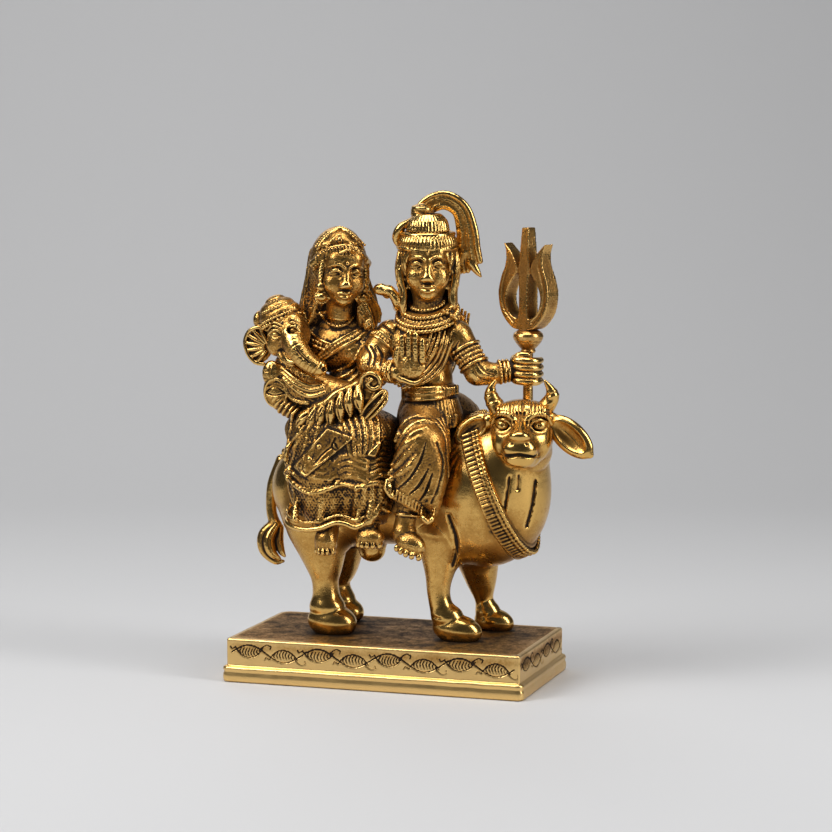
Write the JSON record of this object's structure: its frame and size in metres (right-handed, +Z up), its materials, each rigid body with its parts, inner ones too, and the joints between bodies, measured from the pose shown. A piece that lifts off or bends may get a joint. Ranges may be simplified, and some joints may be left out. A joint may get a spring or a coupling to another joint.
{
  "type": "brass group statue on a plinth",
  "caption": "Brass tabletop statue of two seated figures and a child riding a bull on an engraved plinth, with a loose trident that lifts out of a fist.",
  "frame": {"origin": "middle of the underside of the whole object's bounding box, on the surface it stands on", "axes": "+Z up; the bull faces +X; the figures and the plinth's long front side face -Y"},
  "size_m": [0.1172, 0.054, 0.1552],
  "materials": {
    "plinth_brass": "satin top, polished rim, engraved sides with dark recesses",
    "bull_brass": "polished bright gold brass with brown patina in the hollows",
    "figure_brass": "cast detail, polished on the high spots, dark brown patina in the recesses",
    "trident_brass": "darker antique brass, lightly polished edges",
    "fastener_steel": "plain zinc-plated steel"
  },
  "bodies": {
    "statue": {"base_plinth": "plinth_brass", "bull_body": "bull_brass", "bull_leg_front_near": "bull_brass", "bull_leg_front_far": "bull_brass", "bull_leg_rear_near": "bull_brass", "bull_leg_rear_far": "bull_brass", "bull_head": "bull_brass", "bull_right_horn": "bull_brass", "bull_left_horn": "bull_brass", "bull_right_ear": "bull_brass", "bull_left_ear": "bull_brass", "bull_tail": "bull_brass", "bull_collar": "bull_brass", "saddle_cloth": "figure_brass", "shiva_dhoti": "figure_brass", "shiva_far_leg": "figure_brass", "shiva_torso": "figure_brass", "shiva_head": "figure_brass", "shiva_hair": "figure_brass", "shiva_topknot_plume": "figure_brass", "shiva_crescent": "figure_brass", "shiva_cobra": "figure_brass", "shiva_right_arm": "figure_brass", "shiva_left_arm": "figure_brass", "shiva_right_foot": "figure_brass", "shiva_left_foot": "figure_brass", "parvati_skirt": "figure_brass", "parvati_torso": "figure_brass", "parvati_head": "figure_brass", "parvati_veil": "figure_brass", "parvati_crown": "figure_brass", "parvati_right_arm": "figure_brass", "parvati_left_arm": "figure_brass", "parvati_right_foot": "figure_brass", "parvati_left_foot": "figure_brass", "ganesha_body": "figure_brass", "ganesha_head": "figure_brass", "ganesha_crown": "figure_brass", "ganesha_right_ear": "figure_brass", "ganesha_trunk": "figure_brass", "ganesha_right_hand": "figure_brass", "ganesha_left_hand": "figure_brass", "ganesha_feet": "figure_brass", "hoof_screw_front_near": "fastener_steel", "hoof_washer_front_near": "fastener_steel", "hoof_screw_front_far": "fastener_steel", "hoof_washer_front_far": "fastener_steel", "hoof_screw_rear_near": "fastener_steel", "hoof_washer_rear_near": "fastener_steel", "hoof_screw_rear_far": "fastener_steel", "hoof_washer_rear_far": "fastener_steel"},
    "trident_shaft_body": {"trident_shaft": "trident_brass"},
    "trident_head_body": {"trident_head": "trident_brass", "trident_knob": "trident_brass"}
  },
  "joints": [
    {"name": "trident_lift", "type": "slide", "parent": "statue", "child": "trident_shaft_body", "axis": [0, 0, 1], "range_m": [0, 0.05]},
    {"name": "trident_turn", "type": "hinge", "parent": "trident_shaft_body", "child": "trident_head_body", "pos_m": [0.03442, 0.0025, 0.11], "axis": [0, 0, 1], "continuous": true}
  ]
}
